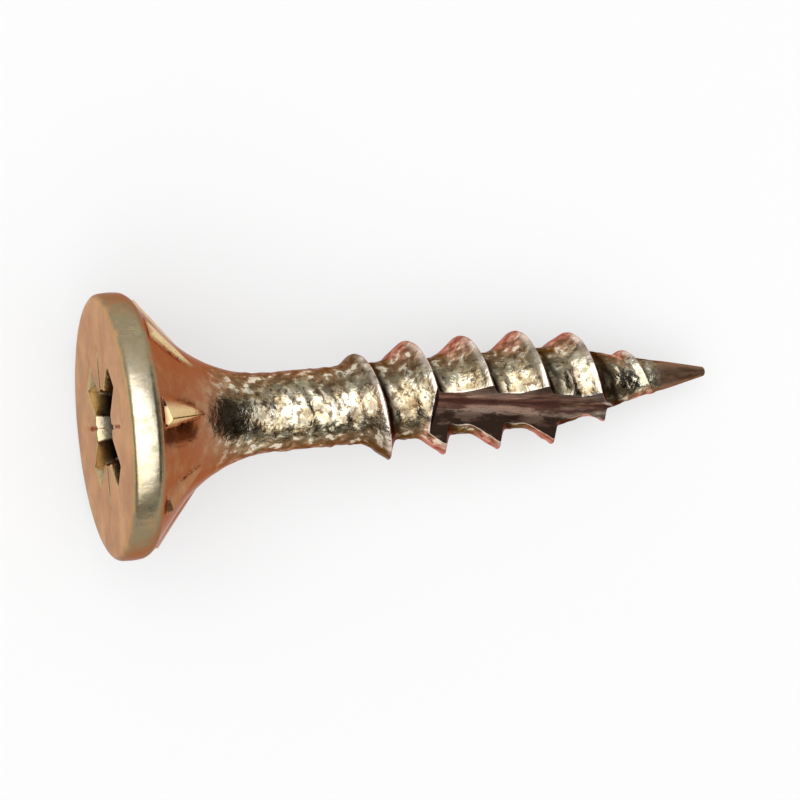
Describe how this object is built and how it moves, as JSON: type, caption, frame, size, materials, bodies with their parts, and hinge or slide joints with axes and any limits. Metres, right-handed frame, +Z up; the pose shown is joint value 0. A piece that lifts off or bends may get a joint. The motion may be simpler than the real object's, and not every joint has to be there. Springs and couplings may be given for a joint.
{
  "type": "chipboard screw",
  "caption": "Countersunk wood screw with a coarse sharp thread, ribs under the head, a cross drive recess and a fluted cutting point, lying on its side.",
  "frame": {"origin": "centre of the bounding box's underside, on the table that the screw lies on", "axes": "+Z up, +X from the head towards the tip along the table; the screw's own axis dips towards the tip, because it lies on its rim and on a crest of its thread"},
  "size_m": [0.0196, 0.0082, 0.0081],
  "materials": {
    "plated_steel": "steel with a yellow-passivated zinc plating: champagne gold with coppery and olive tints, glossy, finely speckled, thin bright crest edges"
  },
  "bodies": {
    "root": {"screw": "plated_steel"}
  },
  "joints": []
}
